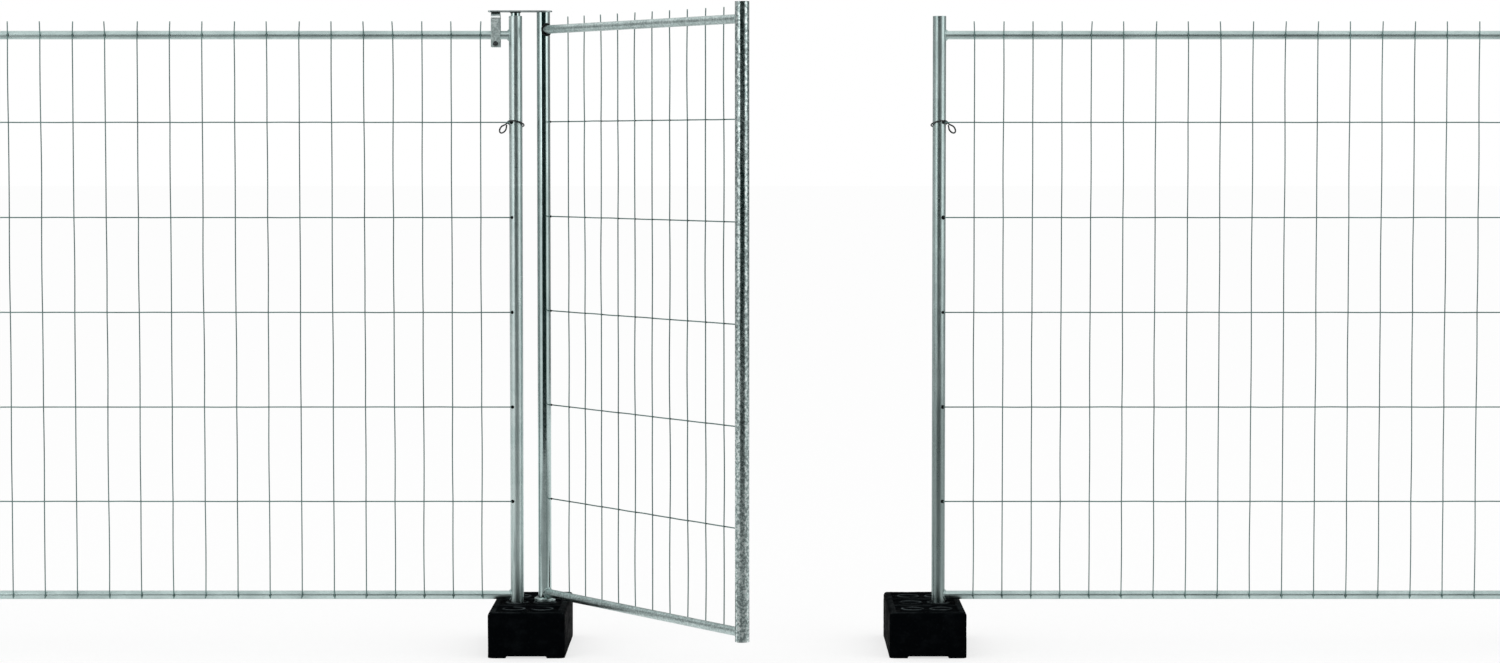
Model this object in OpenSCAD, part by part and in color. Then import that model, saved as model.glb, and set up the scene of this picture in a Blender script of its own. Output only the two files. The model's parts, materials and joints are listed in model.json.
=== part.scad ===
// Temporary fence set: two mesh panels on ballast feet, with a gate leaf hung between them.
// Millimetres, +Z up. The origin is on the ground, below the gate's hinge axis.
// The fence line runs along X, and the leaf stands partly open towards -Y.

/* [Fence panels] */
// Post axis to post axis of a fixed panel
panel_w = 2180; // [1500:10:3500]
// Height of the post tops above the ground
post_top = 2000; // [1700:10:2300]
// Outer diameter of every post
post_d = 42; // [38:0.5:48]
// Wall of every post
post_wall = 2; // [1.5:0.1:3]
// Outer diameter of the rails
rail_d = 27; // [22:0.5:32]
// Wall of the rails
rail_wall = 1.5; // [1:0.1:2.5]
// Top rail's centre below the post tops
top_rail_drop = 60; // [50:1:90]
// Bottom rail's centre above the feet
bottom_rail_rise = 22; // [20:1:60]

/* [Mesh] */
// Diameter of the upright wires
upright_d = 3.5; // [3:0.1:5]
// Diameter of the cross wires
cross_d = 4; // [3:0.1:6]
// Post axis to the first upright wire
edge_gap = 110; // [90:1:140]
// Pitch of the upright wires near a post
edge_pitch = 92; // [60:1:110]
// Number of narrow gaps near a post
edge_count = 4; // [1:1:5]
// Wanted pitch of the upright wires between the edge zones
field_pitch = 101.5; // [60:0.5:130]
// Top rail's centre to the first cross wire
cross_first = 275; // [200:5:350]
// Wanted pitch of the cross wires
cross_pitch = 300; // [150:5:400]
// Upright wires' tips above the top rail's centre
tip_rise = 43; // [25:1:55]
// Upright wires' ends below the bottom rail's centre
tip_drop = 10; // [5:0.5:13]

/* [Gateway] */
// Hinge axis to the axis of the right panel's near post
gateway_w = 1250; // [1240:1:1600]
// Angle of the leaf from the fence line as it stands
leaf_open = 56.6; // [0:0.1:120]

/* [Gate leaf] */
// Hinge axis to the closing post's axis
leaf_w = 1143; // [800:1:1150]
// Leaf's top rail above the panels' top rail
leaf_rail_rise = 17; // [0:1:20]
// Leaf's bottom rail centre above the feet
leaf_bottom_rise = 30; // [30:1:80]
// Hinge axis to the leaf's first upright wire
leaf_first_gap = 127; // [100:1:180]
// Last upright wire to the closing post's axis
leaf_last_gap = 121; // [80:1:160]
// Wanted pitch of the leaf's upright wires
leaf_pitch = 99.5; // [60:0.5:130]
// Leaf's top rail centre to its first cross wire
leaf_cross_first = 290; // [200:5:350]
// Leaf's wire tips above its top rail's centre
leaf_tip_rise = 38; // [25:1:45]
// Closing post's top above the panels' post tops
closing_post_rise = 7; // [-20:1:30]
// Closing post's lower end above the feet
closing_post_lift = 3; // [3:0.5:12]

/* [Feet] */
// Width of a foot along the fence line
foot_w = 240; // [200:2:320]
// Length of a foot across the fence line
foot_l = 540; // [480:5:800]
// Height of a foot
foot_h = 143; // [110:1:160]
// Radius of the upright corners
foot_corner_r = 16; // [8:1:25]
// Radius of the upper edges
foot_edge_r = 12; // [6:0.5:16]
// Distance between the two post sockets
socket_pitch = 88; // [84:1:110]
// Diameter of a post socket
socket_d = 44; // [43:0.5:52]
// Thickness of the foot below a socket
socket_floor = 16; // [8:1:30]
// Distance of the moulded dimples from the fence line
dimple_row = 160; // [120:1:200]
// Diameter of the dimples and of the sockets' mouths
mouth_d = 58; // [54:0.5:60]
// Depth of the dimples and of the sockets' mouths
mouth_depth = 6; // [3:0.5:10]
// Diameter of the raised ring round a mouth
boss_d = 74; // [70:0.5:80]
// Depth of the sunk top between the rings
tray_depth = 5; // [2:0.5:8]
// Width of the top's raised rim
rim_w = 22; // [18:1:30]
// Width of the ribs across the sunk top
rib_w = 14; // [8:1:20]
// Width of the finger notch under each end of a foot
notch_w = 126; // [80:2:150]
// Height of the finger notch
notch_h = 6; // [4:0.5:12]
// Length of the finger notch
notch_l = 70; // [40:1:100]

/* [Hinges] */
// Width of the top hinge plate
plate_w = 56; // [50:1:70]
// Thickness of the top hinge plate
plate_t = 5; // [4:0.5:8]
// Top hinge plate's length past the left post's axis
plate_tail = 85; // [80:1:110]
// Radius of the plate's corners at its tail
plate_corner_r = 8; // [3:0.5:14]
// Underside of the plate above the post tops
plate_rise = 12; // [10:0.5:18]
// Diameter of the spigot's neck between post and plate
neck_d = 30; // [24:0.5:34]
// Depth of the spigot in the left post
spigot_l = 60; // [40:1:80]
// Depth of the top hinge pin in the leaf's hinge post
top_pin_l = 70; // [40:1:90]
// Diameter of the lower hinge collar
collar_d = 67; // [64:0.5:70]
// Thickness of the lower hinge collar
collar_t = 14; // [10:0.5:14]
// Height of the lower hinge pin above its collar
low_pin_l = 90; // [60:1:120]
// Depth of the lower hinge pin in its stub
low_pin_root = 80; // [50:1:90]
// Play between a pin and the post it fits
pin_play = 0.3; // [0.2:0.05:0.6]

/* [Rail strap] */
// Width of the strap along the rail
strap_w = 29; // [24:1:34]
// Thickness of the strap
strap_t = 3; // [2:0.5:4]
// Clear width between the strap's legs
strap_gap = 34; // [33.5:0.5:40]
// Left post's axis to the strap's middle
strap_at = 62; // [55:0.5:64]
// Strap's lower end below the top rail's centre
strap_drop = 38; // [34:0.5:44]
// Strap bolt's axis below the top rail's centre
bolt_drop = 27; // [23:0.5:27]
// Diameter of the strap bolt
bolt_d = 8; // [6:0.5:8]
// Width across flats of the bolt's head and nut
bolt_flats = 13; // [12:0.5:15]
// Height of the bolt's head
bolt_head = 5.3; // [4:0.1:7]
// Height of the nut
nut_h = 6.5; // [5:0.1:8]
// Diameter of the washers
washer_d = 16; // [15:0.5:18]
// Thickness of the washers
washer_t = 1.6; // [1:0.1:2.5]

/* [Wire clips] */
// Diameter of the clip's wire
clip_d = 5; // [4:0.1:6]
// Clear diameter of the ring round the post, over the post's diameter
clip_play = 5; // [4.5:0.1:8]
// Slope of the ring, high side to the front
clip_tilt = 19; // [10:1:20]
// Slope of the ring, low side away from the panel
clip_roll = 10; // [0:1:12]
// Diameter of the finger eye, measured to the wire's middle
eye_d = 26; // [20:0.5:30]
// Turn of the eye about its neck, upper side to the front
eye_turn = 58; // [0:1:60]
// Length of the neck between ring and eye
clip_neck = 14; // [5:0.5:16]
// Slope of the neck, down from the ring
neck_slope = 65; // [10:1:70]

/* [Hidden] */
$fn = 48;

zinc = [0.72, 0.75, 0.75];
zinc_dark = [0.55, 0.58, 0.58];
black = [0.08, 0.08, 0.09];

// Gap of a weld, of two pieces that lie on each other, and of a bolt in its nut
weld_gap = 0.1;
seat_gap = 0.3;
bolt_play = 0.1;
// Room that a cutting shape takes past a face
cut = 1;

// Axes along the fence line, with the hinge axis at zero
left_post_x = -socket_pitch;
left_end_x = left_post_x - panel_w;
right_post_x = gateway_w;
right_end_x = right_post_x + panel_w;

// Heights
top_rail_z = post_top - top_rail_drop;
bottom_rail_z = foot_h + bottom_rail_rise;
rail_span = top_rail_z - bottom_rail_z;
post_foot_z = socket_floor + seat_gap;
plate_z = post_top + plate_rise;
leaf_top_z = top_rail_z + leaf_rail_rise;
leaf_bottom_z = foot_h + leaf_bottom_rise;
leaf_rail_span = leaf_top_z - leaf_bottom_z;
collar_top_z = foot_h + seat_gap + collar_t;

// Bores and the pins that run in them
post_bore = post_d - 2 * post_wall;
pin_d = post_bore - 2 * pin_play;

// Mesh planes, measured from the rails' axis
upright_y = rail_d / 2 + weld_gap + upright_d / 2;
cross_y = upright_y + upright_d / 2 + weld_gap + cross_d / 2;

// A wire that lies before a post ends where its inner side meets the post
post_reach = post_d / 2 + weld_gap;
cross_inset = sqrt(max(0, pow(post_reach, 2) - pow(min(post_reach, cross_y - cross_d / 2), 2)));

// Upright wires of a fixed panel, measured from its left post's axis
edge_zone = edge_gap + edge_count * edge_pitch;
field_gaps = max(1, round((panel_w - 2 * edge_zone) / field_pitch));
field_step = (panel_w - 2 * edge_zone) / field_gaps;
panel_upright_xs = concat(
    [for (i = [0 : edge_count - 1]) edge_gap + i * edge_pitch],
    [for (i = [0 : field_gaps]) edge_zone + i * field_step],
    [for (i = [edge_count - 1 : -1 : 0]) panel_w - edge_gap - i * edge_pitch]
);

// Upright wires of the leaf, measured from the hinge axis
leaf_field = leaf_w - leaf_first_gap - leaf_last_gap;
leaf_gaps = max(1, round(leaf_field / leaf_pitch));
leaf_upright_xs = [for (i = [0 : leaf_gaps]) leaf_first_gap + i * leaf_field / leaf_gaps];

// Cross wires below a top rail: the last gap ends at the bottom rail
function cross_drops(span, first) =
    let (gaps = max(1, round((span - first) / cross_pitch)))
    [for (i = [0 : gaps - 1]) first + i * (span - first) / gaps];
panel_cross_zs = [for (d = cross_drops(rail_span, cross_first)) top_rail_z - d];
leaf_cross_zs = [for (d = cross_drops(leaf_rail_span, leaf_cross_first)) leaf_top_z - d];

// The clip's ring hangs on the root of the upper cross wire, where the ring lies above its middle
clip_r = (post_d + clip_play + clip_d) / 2;
clip_lift = (clip_d + cross_d) / 2 + 2 * seat_gap;
hang_turn = asin(min(1, cross_y / (clip_r * cos(clip_tilt))));
hang_x = clip_r * (cos(hang_turn) * cos(clip_roll) - sin(hang_turn) * sin(clip_tilt) * sin(clip_roll));
hang_rise = hang_x * tan(clip_roll) + cross_y * tan(clip_tilt) / cos(clip_roll);
clip_z = panel_cross_zs[0] + clip_lift - hang_rise;

// Outlines and plain shapes

module rounded_outline(w, l, r) {
    square([w - 2 * r, l], center = true);
    square([w, l - 2 * r], center = true);
    for (x = [-1, 1], y = [-1, 1])
        translate([x * (w / 2 - r), y * (l / 2 - r)]) circle(r);
}

// Outline of a block that stands on y = 0, with rounded upper corners
module loaf_outline(w, h, r) {
    translate([-w / 2, 0]) square([w, h - r]);
    translate([-w / 2 + r, 0]) square([w - 2 * r, h]);
    for (x = [-1, 1])
        translate([x * (w / 2 - r), h - r]) circle(r);
}

// Outline of an arch that stands on y = 0, with a half-round top
module arch_outline(w, h) {
    translate([-w / 2, 0]) square([w, h - w / 2]);
    translate([0, h - w / 2]) circle(d = w);
}

module tube(d, bore, z0, z1) {
    translate([0, 0, z0])
        difference() {
            cylinder(d = d, h = z1 - z0);
            translate([0, 0, -cut]) cylinder(d = bore, h = z1 - z0 + 2 * cut);
        }
}

module post(z0, z1) {
    tube(post_d, post_bore, z0, z1);
}

// Rail between the axes of two posts, with its ends coped to them
module rail(x0, x1, z) {
    difference() {
        translate([x0, 0, z]) rotate([0, 90, 0]) tube(rail_d, rail_d - 2 * rail_wall, 0, x1 - x0);
        for (x = [x0, x1])
            translate([x, 0, z - rail_d]) cylinder(d = post_d + 2 * weld_gap, h = 2 * rail_d);
    }
}

module upright_wires(xs, y, z0, z1) {
    for (x = xs)
        translate([x, y, z0]) cylinder(d = upright_d, h = z1 - z0);
}

module cross_wires(x0, x1, y, zs) {
    for (z = zs)
        translate([x0 + cross_inset, y, z]) rotate([0, 90, 0])
            cylinder(d = cross_d, h = x1 - x0 - 2 * cross_inset);
}

// Pieces of a fixed panel whose left post stands at x0

module panel_post(x) {
    color(zinc) translate([x, 0, 0]) post(post_foot_z, post_top);
}

module panel_rail(x0, z) {
    color(zinc) rail(x0, x0 + panel_w, z);
}

module panel_uprights(x0) {
    color(zinc) translate([x0, 0, 0])
        upright_wires(panel_upright_xs, -upright_y, bottom_rail_z - tip_drop, top_rail_z + tip_rise);
}

module panel_cross_wires(x0) {
    color(zinc) cross_wires(x0, x0 + panel_w, -cross_y, panel_cross_zs);
}

// Wire ring round a post, sloping, with a finger eye that hangs on the side of the panel
module wire_clip(x, side) {
    color(zinc_dark) translate([x, 0, clip_z]) rotate([0, -side * clip_roll, 0]) {
        rotate([-clip_tilt, 0, 0]) rotate_extrude() translate([clip_r, 0]) circle(d = clip_d);
        translate([side * clip_r, 0, 0]) rotate([0, side * (90 + neck_slope), 0]) {
            cylinder(d = 0.9 * clip_d, h = clip_neck);
            translate([0, 0, clip_neck + eye_d / 2]) rotate([90, 0, side * eye_turn])
                rotate_extrude() translate([eye_d / 2, 0]) circle(d = clip_d);
        }
    }
}

module left_gate_post() { panel_post(left_post_x); }
module left_end_post() { panel_post(left_end_x); }
module left_top_rail() { panel_rail(left_end_x, top_rail_z); }
module left_bottom_rail() { panel_rail(left_end_x, bottom_rail_z); }
module left_uprights() { panel_uprights(left_end_x); }
module left_cross_wires() { panel_cross_wires(left_end_x); }
module left_clip() { wire_clip(left_post_x, -1); }

module right_gate_post() { panel_post(right_post_x); }
module right_end_post() { panel_post(right_end_x); }
module right_top_rail() { panel_rail(right_post_x, top_rail_z); }
module right_bottom_rail() { panel_rail(right_post_x, bottom_rail_z); }
module right_uprights() { panel_uprights(right_post_x); }
module right_cross_wires() { panel_cross_wires(right_post_x); }
module right_clip() { wire_clip(right_post_x, 1); }

// Pieces of the gate leaf, made along X and turned about the hinge axis

module on_leaf() {
    color(zinc) rotate([0, 0, -leaf_open]) children();
}

module leaf_hinge_post() {
    on_leaf() post(collar_top_z + seat_gap, plate_z - seat_gap);
}

module leaf_closing_post() {
    on_leaf() translate([leaf_w, 0, 0]) post(foot_h + closing_post_lift, post_top + closing_post_rise);
}

module leaf_top_rail() {
    on_leaf() rail(0, leaf_w, leaf_top_z);
}

module leaf_bottom_rail() {
    on_leaf() rail(0, leaf_w, leaf_bottom_z);
}

module leaf_uprights() {
    on_leaf() upright_wires(leaf_upright_xs, upright_y, leaf_bottom_z - tip_drop, leaf_top_z + leaf_tip_rise);
}

module leaf_cross_wires() {
    on_leaf() cross_wires(0, leaf_w, cross_y, leaf_cross_zs);
}

// Top hinge

module plate_outline() {
    tail_x = left_post_x - plate_tail;
    circle(d = plate_w);
    translate([tail_x + plate_corner_r, -plate_w / 2]) square([-tail_x - plate_corner_r, plate_w]);
    translate([tail_x, -plate_w / 2 + plate_corner_r])
        square([2 * plate_corner_r, plate_w - 2 * plate_corner_r]);
    for (y = [-1, 1])
        translate([tail_x + plate_corner_r, y * (plate_w / 2 - plate_corner_r)]) circle(plate_corner_r);
}

module top_hinge_plate() {
    color(zinc) translate([0, 0, plate_z]) linear_extrude(plate_t) plate_outline();
}

// Slim neck below the plate, and a plug that fills the left post's bore
module post_spigot() {
    color(zinc) translate([left_post_x, 0, 0]) {
        translate([0, 0, post_top - cut]) cylinder(d = neck_d, h = plate_rise + cut - weld_gap);
        translate([0, 0, post_top - spigot_l]) cylinder(d = pin_d, h = spigot_l);
    }
}

module top_hinge_pin() {
    color(zinc) translate([0, 0, plate_z - weld_gap - top_pin_l]) cylinder(d = pin_d, h = top_pin_l);
}

strap_x = left_post_x - strap_at;
strap_foot_z = top_rail_z - strap_drop;
strap_h = plate_z - weld_gap - strap_foot_z;
bolt_z = top_rail_z - bolt_drop;
strap_face_y = strap_gap / 2 + strap_t;
washer_face_y = strap_face_y + weld_gap + washer_t;

// Strap that hangs from the plate and straddles the top rail, bent from a flat strip
module rail_strap() {
    color(zinc) difference() {
        translate([strap_x - strap_w / 2, 0, strap_foot_z]) rotate([90, 0, 90]) linear_extrude(strap_w)
            difference() {
                arch_outline(2 * strap_face_y, strap_h);
                translate([0, -cut]) arch_outline(strap_gap, strap_h - strap_t + cut);
            }
        translate([strap_x, strap_face_y + cut, bolt_z]) rotate([90, 0, 0])
            cylinder(d = bolt_d + 2 * bolt_play, h = 2 * (strap_face_y + cut));
    }
}

module hexagon_prism(h) {
    cylinder(d = bolt_flats / cos(30), h = h, $fn = 6);
}

module strap_bolt() {
    head_y = -washer_face_y - weld_gap;
    tip_y = washer_face_y + weld_gap + nut_h + washer_t;
    color(zinc_dark) translate([strap_x, 0, bolt_z]) {
        translate([0, head_y, 0]) rotate([-90, 0, 0]) cylinder(d = bolt_d, h = tip_y - head_y);
        translate([0, head_y, 0]) rotate([90, 0, 0]) hexagon_prism(bolt_head);
    }
}

module strap_nut() {
    color(zinc_dark) translate([strap_x, washer_face_y + weld_gap, bolt_z]) rotate([-90, 0, 0])
        difference() {
            hexagon_prism(nut_h);
            translate([0, 0, -cut]) cylinder(d = bolt_d + 2 * bolt_play, h = nut_h + 2 * cut);
        }
}

module strap_washers() {
    color(zinc_dark) for (side = [-90, 90])
        translate([strap_x, 0, bolt_z]) rotate([side, 0, 0])
            tube(washer_d, bolt_d + 2 * bolt_play, strap_face_y + weld_gap, washer_face_y);
}

// Lower hinge, in the second socket of the hinge foot

module pivot_stub() {
    color(zinc) post(post_foot_z, foot_h);
}

module pivot_collar() {
    color(zinc) tube(collar_d, pin_d + 2 * weld_gap, foot_h + seat_gap, collar_top_z);
}

module pivot_pin() {
    color(zinc) translate([0, 0, foot_h - low_pin_root])
        cylinder(d = pin_d, h = collar_top_z + low_pin_l - foot_h + low_pin_root);
}

// Ballast foot. Posts stand in the two sockets on the fence line; the other four rings hold dimples.

socket_xs = [-socket_pitch / 2, socket_pitch / 2];
boss_rows = [-dimple_row, 0, dimple_row];

module foot_block() {
    intersection() {
        linear_extrude(foot_h) rounded_outline(foot_w, foot_l, foot_corner_r);
        translate([0, foot_l / 2, 0]) rotate([90, 0, 0])
            linear_extrude(foot_l) loaf_outline(foot_w, foot_h, foot_edge_r);
        translate([-foot_w / 2, 0, 0]) rotate([90, 0, 90])
            linear_extrude(foot_w) loaf_outline(foot_l, foot_h, foot_edge_r);
    }
}

module foot_tray() {
    translate([0, 0, foot_h - tray_depth]) linear_extrude(tray_depth + cut)
        difference() {
            rounded_outline(foot_w - 2 * rim_w, foot_l - 2 * rim_w, foot_corner_r / 2);
            for (x = socket_xs, y = boss_rows)
                translate([x, y]) circle(d = boss_d);
            for (y = [-1, 1])
                translate([0, y * dimple_row / 2]) square([foot_w, rib_w], center = true);
        }
}

module ballast_foot(x) {
    color(black) translate([x, 0, 0]) difference() {
        foot_block();
        foot_tray();
        for (sx = socket_xs, y = boss_rows)
            translate([sx, y, foot_h - mouth_depth]) cylinder(d = mouth_d, h = mouth_depth + cut);
        for (sx = socket_xs)
            translate([sx, 0, socket_floor]) cylinder(d = socket_d, h = foot_h);
        for (y = [-1, 1])
            translate([0, y * foot_l / 2, 0]) cube([notch_w, 2 * notch_l, 2 * notch_h], center = true);
    }
}

module left_end_foot() { ballast_foot(left_end_x - socket_pitch / 2); }
module hinge_foot() { ballast_foot(left_post_x + socket_pitch / 2); }
module closing_foot() { ballast_foot(right_post_x - socket_pitch / 2); }
module right_end_foot() { ballast_foot(right_end_x + socket_pitch / 2); }

left_gate_post();
left_end_post();
left_top_rail();
left_bottom_rail();
left_uprights();
left_cross_wires();
left_clip();
right_gate_post();
right_end_post();
right_top_rail();
right_bottom_rail();
right_uprights();
right_cross_wires();
right_clip();
leaf_hinge_post();
leaf_closing_post();
leaf_top_rail();
leaf_bottom_rail();
leaf_uprights();
leaf_cross_wires();
top_hinge_plate();
post_spigot();
top_hinge_pin();
rail_strap();
strap_bolt();
strap_nut();
strap_washers();
pivot_stub();
pivot_collar();
pivot_pin();
left_end_foot();
hinge_foot();
closing_foot();
right_end_foot();
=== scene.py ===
import json
import math
import random

import bmesh
import bpy
from mathutils import Matrix, Vector, noise

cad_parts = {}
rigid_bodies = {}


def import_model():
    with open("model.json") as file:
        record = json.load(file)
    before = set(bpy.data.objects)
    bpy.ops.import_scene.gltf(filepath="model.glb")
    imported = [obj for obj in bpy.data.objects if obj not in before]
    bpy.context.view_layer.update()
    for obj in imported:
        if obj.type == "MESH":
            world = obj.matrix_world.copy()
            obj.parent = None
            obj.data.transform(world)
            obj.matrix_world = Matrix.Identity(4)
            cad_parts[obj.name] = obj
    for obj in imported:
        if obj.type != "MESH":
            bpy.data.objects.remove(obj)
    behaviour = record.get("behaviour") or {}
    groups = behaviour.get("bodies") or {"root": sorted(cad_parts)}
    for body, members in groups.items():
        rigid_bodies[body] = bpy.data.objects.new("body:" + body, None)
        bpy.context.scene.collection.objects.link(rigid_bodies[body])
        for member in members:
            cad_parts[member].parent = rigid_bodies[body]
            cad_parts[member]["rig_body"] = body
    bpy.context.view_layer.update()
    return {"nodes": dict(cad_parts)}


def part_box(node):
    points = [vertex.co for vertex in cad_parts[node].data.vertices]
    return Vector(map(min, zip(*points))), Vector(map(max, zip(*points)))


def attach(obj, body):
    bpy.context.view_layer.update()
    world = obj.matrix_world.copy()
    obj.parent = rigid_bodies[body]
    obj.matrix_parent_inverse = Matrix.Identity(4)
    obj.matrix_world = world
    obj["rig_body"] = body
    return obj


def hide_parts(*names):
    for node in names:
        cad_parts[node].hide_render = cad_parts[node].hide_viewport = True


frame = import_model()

NODES = frame["nodes"]
UP = Vector((0.0, 0.0, 1.0))
FULL_TURN = 2 * math.pi

# Lengths are in metres, and colours are linear red, green, blue and alpha.

# Camera: the photograph's viewing angle. The lens is for a 36 mm wide sensor.
CAMERA_PLACE = (0.652, -11.319, 1.575)
CAMERA_DOWN = math.radians(2.89)
CAMERA_LENS = 85.84

# Colours of zinc
ZINC = (0.51, 0.625, 0.61, 1.0)
ZINC_PALE = (0.62, 0.725, 0.71, 1.0)
ZINC_DULL = (0.38, 0.475, 0.465, 1.0)
ZINC_BRIGHT = (0.86, 0.91, 0.90, 1.0)
LEAF_ZINC = (0.485, 0.595, 0.58, 1.0)
PLATE_ZINC = (0.47, 0.54, 0.54, 1.0)
PLATE_DULL = (0.34, 0.39, 0.39, 1.0)
WIRE_ZINC = (0.19, 0.295, 0.28, 1.0)
WIRE_DULL = (0.135, 0.21, 0.20, 1.0)
WIRE_PALE = (0.25, 0.365, 0.35, 1.0)
SPECKLE = (0.10, 0.12, 0.12, 1.0)
# Darker zinc for the lower part of a post
LOW_DARK_ZINC = (0.19, 0.238, 0.232, 1.0)

# Plain, dull and pale tone of each zinc finish
ZINC_TONES = (ZINC, ZINC_DULL, ZINC_PALE)
POST_TONES = (ZINC_PALE, ZINC, ZINC_PALE)
LEAF_TONES = (LEAF_ZINC, ZINC_DULL, ZINC)
PLATE_TONES = (PLATE_ZINC, PLATE_DULL, ZINC_DULL)
STRAP_TONES = (ZINC_PALE, ZINC, ZINC_BRIGHT)
WIRE_TONES = (WIRE_ZINC, WIRE_DULL, WIRE_PALE)

# Colours of fasteners, clips, welds and plastic
PLATING = (0.22, 0.24, 0.24, 1.0)
GRIME = (0.03, 0.033, 0.035, 1.0)
CLIP_SKIN = (0.03, 0.033, 0.035, 1.0)
CLIP_BARE = (0.14, 0.15, 0.15, 1.0)
# The dark weld tone also serves as painted shadow at the top hinge and round the leaf's upper rail end
WELD_DARK = (0.004, 0.005, 0.005, 1.0)
WELD_GREY = (0.07, 0.085, 0.085, 1.0)
PLASTIC = (0.0010, 0.0014, 0.0018, 1.0)
PLASTIC_GRAIN = (0.006, 0.0073, 0.008, 1.0)
# The scuff, worn and ring tones below are lighter partly as painted highlights
PLASTIC_SCUFF_AND_SHEEN = (0.026, 0.032, 0.034, 1.0)
PLASTIC_WEAR_AND_GLINT = (0.055, 0.066, 0.068, 1.0)
PLASTIC_RUB_AND_GLINT = (0.075, 0.090, 0.094, 1.0)

# Colours of the studio
WHITE = (1.0, 1.0, 1.0, 1.0)
FLOOR_PAINT = (0.95, 0.95, 0.95, 1.0)
FRONT_CLOTH = (0.010, 0.022, 0.021, 1.0)
GROUND_CLOTH = (0.42, 0.42, 0.42, 1.0)
LEFT_CLOTH = (0.45, 0.45, 0.45, 1.0)
GREY_CLOTH = (0.3, 0.3, 0.3, 1.0)

# Floor: its middle, half its side, and the share of plain white in it, beside the shadows that it takes
FLOOR_CENTRE = (0.6, 0.0, 0.0)
FLOOR_HALF = 150.0
FLOOR_WHITE = 0.65

# Studio flags: name, centre, half side across, half side up and colour
FLAGS = (
    ("front_flag", (1.3, -7.0, 1.95), (5.2, 0, 0), (0, 0, 1.95), FRONT_CLOTH),
    ("ground_flag", (1.3, -4.0, 0.002), (5.2, 0, 0), (0, 3.0, 0), GROUND_CLOTH),
    ("back_flag", (1.0, 9.0, 3.0), (9.0, 0, 0), (0, 0, 3.0), GREY_CLOTH),
    ("left_flag", (-9.0, 3.0, 3.0), (0, 6.0, 0), (0, 0, 3.0), LEFT_CLOTH),
    ("right_flag", (11.0, 4.5, 3.0), (0, 5.0, 0), (0, 0, 3.0), GREY_CLOTH),
)

# Softboxes: width, height and aim of both, then name, place and radiance of each
SOFTBOX_W = 3.0
SOFTBOX_H = 4.0
SOFTBOX_AIM = (0.6, 0.0, 1.0)
SOFTBOXES = (
    ("left_softbox", (-5.0, -6.5, 3.4), 1.3),
    ("right_softbox", (8.5, -4.0, 3.4), 1.0),
)

# Noise: the band in which most of its values lie
NOISE_BAND = (0.3, 0.7)

# Marks in zinc: their sizes, the noise levels between which each sets in, and how strongly it tints
RUN_SIZE = 0.012
RUN_LEVELS = (0.5, 0.75)
RUN_TINT = 0.6
PATCH_SIZE = 0.09
PATCH_LEVELS = (0.42, 0.68)
CRYSTAL_LEVELS = (0.2, 0.9)
CRYSTAL_TINT = 0.35
SPECKLE_LEVELS = (0.5, 0.56)
DROP_LEVELS = (0.46, 0.40)

# Skin of zinc: sizes of its ripples and dips, and what runs and crystals take off or add in roughness
RIPPLE_SIZE = 0.02
DIP_SIZE = 0.011
RUN_ROUGH = (-0.05, 0.06)
CRYSTAL_ROUGH = (-0.02, 0.04)

# Darker towards the bottom: how far runs move the edge of the darker part, that edge's softness as a share
# of its height, and its tint
LOW_EDGE_REACH = 0.15
LOW_EDGE_FADE = 0.3
LOW_DARK_TINT = 0.75

# Painted highlight on a bend: from its height, where bright zinc sets in and is full, and the roughness
# that it loses
BEND_START = -0.003
BEND_FULL = 0.002
BEND_POLISH = 0.25

# Marks in plastic: their sizes, the levels between which each sets in, and how strongly it tints. The scuff
# marks are partly painted sheen.
GRAIN_SIZE = 0.0035
GRAIN_LEVELS = (0.8, 1.0)
GRAIN_TINT = 0.5
FLOW_SIZE = 0.05
FLOW_STRETCH = (1.0, 0.35, 1.6)
FLOW_LEVELS = (0.5, 0.8)
FLOW_TINT = 0.5
SCUFF_SIZE = 0.011
SCUFF_STRETCH = (1.0, 0.4, 1.0)
SCUFF_LEVELS = (0.64, 0.82)
SCUFF_TINT = 0.6

# Skin of plastic: size of its pits, its depth, its range of roughness and its shine
PIT_SIZE = 0.004
SKIN_DEPTH = 0.0005
PLASTIC_ROUGH = (0.4, 0.7)
PLASTIC_SHINE = 0.001

# Worn edges of plastic, lighter partly as a painted highlight: how pointed they are where the lighter tone
# sets in and is full, and how flow marks thin it
WORN_EDGE = (0.53, 0.60)
WORN_LEVELS = (0.35, 0.6)
WORN_LEAST = 0.25

# Rings on a foot: pitch across, pitch of the rows, mid radius and half width
RING_PITCH = 0.088
RING_ROW = 0.160
RING_R = 0.033
RING_HALF = 0.0048

# Rubbing of the rings where feet are stacked, partly a painted highlight on their rims: half width where it
# is full, and its share at a ring's edge
RUB_HALF = 0.001
RUB_LEAST = 0.16

# Depths below a ring's top at which rubbing sets in and is full, and the size and levels of its patches
RUB_START = 0.0045
RUB_FULL = 0.0005
RUB_SIZE = 0.06
RUB_LEVELS = (0.38, 0.62)

# Wires: how far they bow between their welds, how far their tips lean, and their sampling
WIRE_BOW = 0.0013
LEAF_BOW = 0.0030
CROSS_BOW = 0.0006
TIP_LEAN = 0.0025
SPAN_STEPS = 6
WIRE_SIDES = 10

# Cut ends of wires, in wire radii: the end's radius, and the length over which it rounds off
CUT_R = 0.7
CUT_LENGTH = 0.3

# Weld nuggets: half sizes along the fence, outward and up, where wires cross, on a rail and at a post
CROSS_NUGGET = (0.0027, 0.0013, 0.0027)
RAIL_NUGGET = (0.0034, 0.0022, 0.0052)
POST_NUGGET = (0.0060, 0.0036, 0.0056)

# Nuggets: share of their size at the leaf's posts, spread in size, and share of a wire's radius they sink
LEAF_POST_WELD = 0.6
NUGGET_SPREAD = (0.85, 1.2)
NUGGET_SINK = 0.5

# Lumps of welds: the share by which they swell, and how many there are in a metre
NUGGET_LUMP = (0.18, 700)
BEAD_LUMP = (0.35, 90)
NECK_LUMP = (0.3, 120)
STRAP_LUMP = (0.25, 260)

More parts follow.
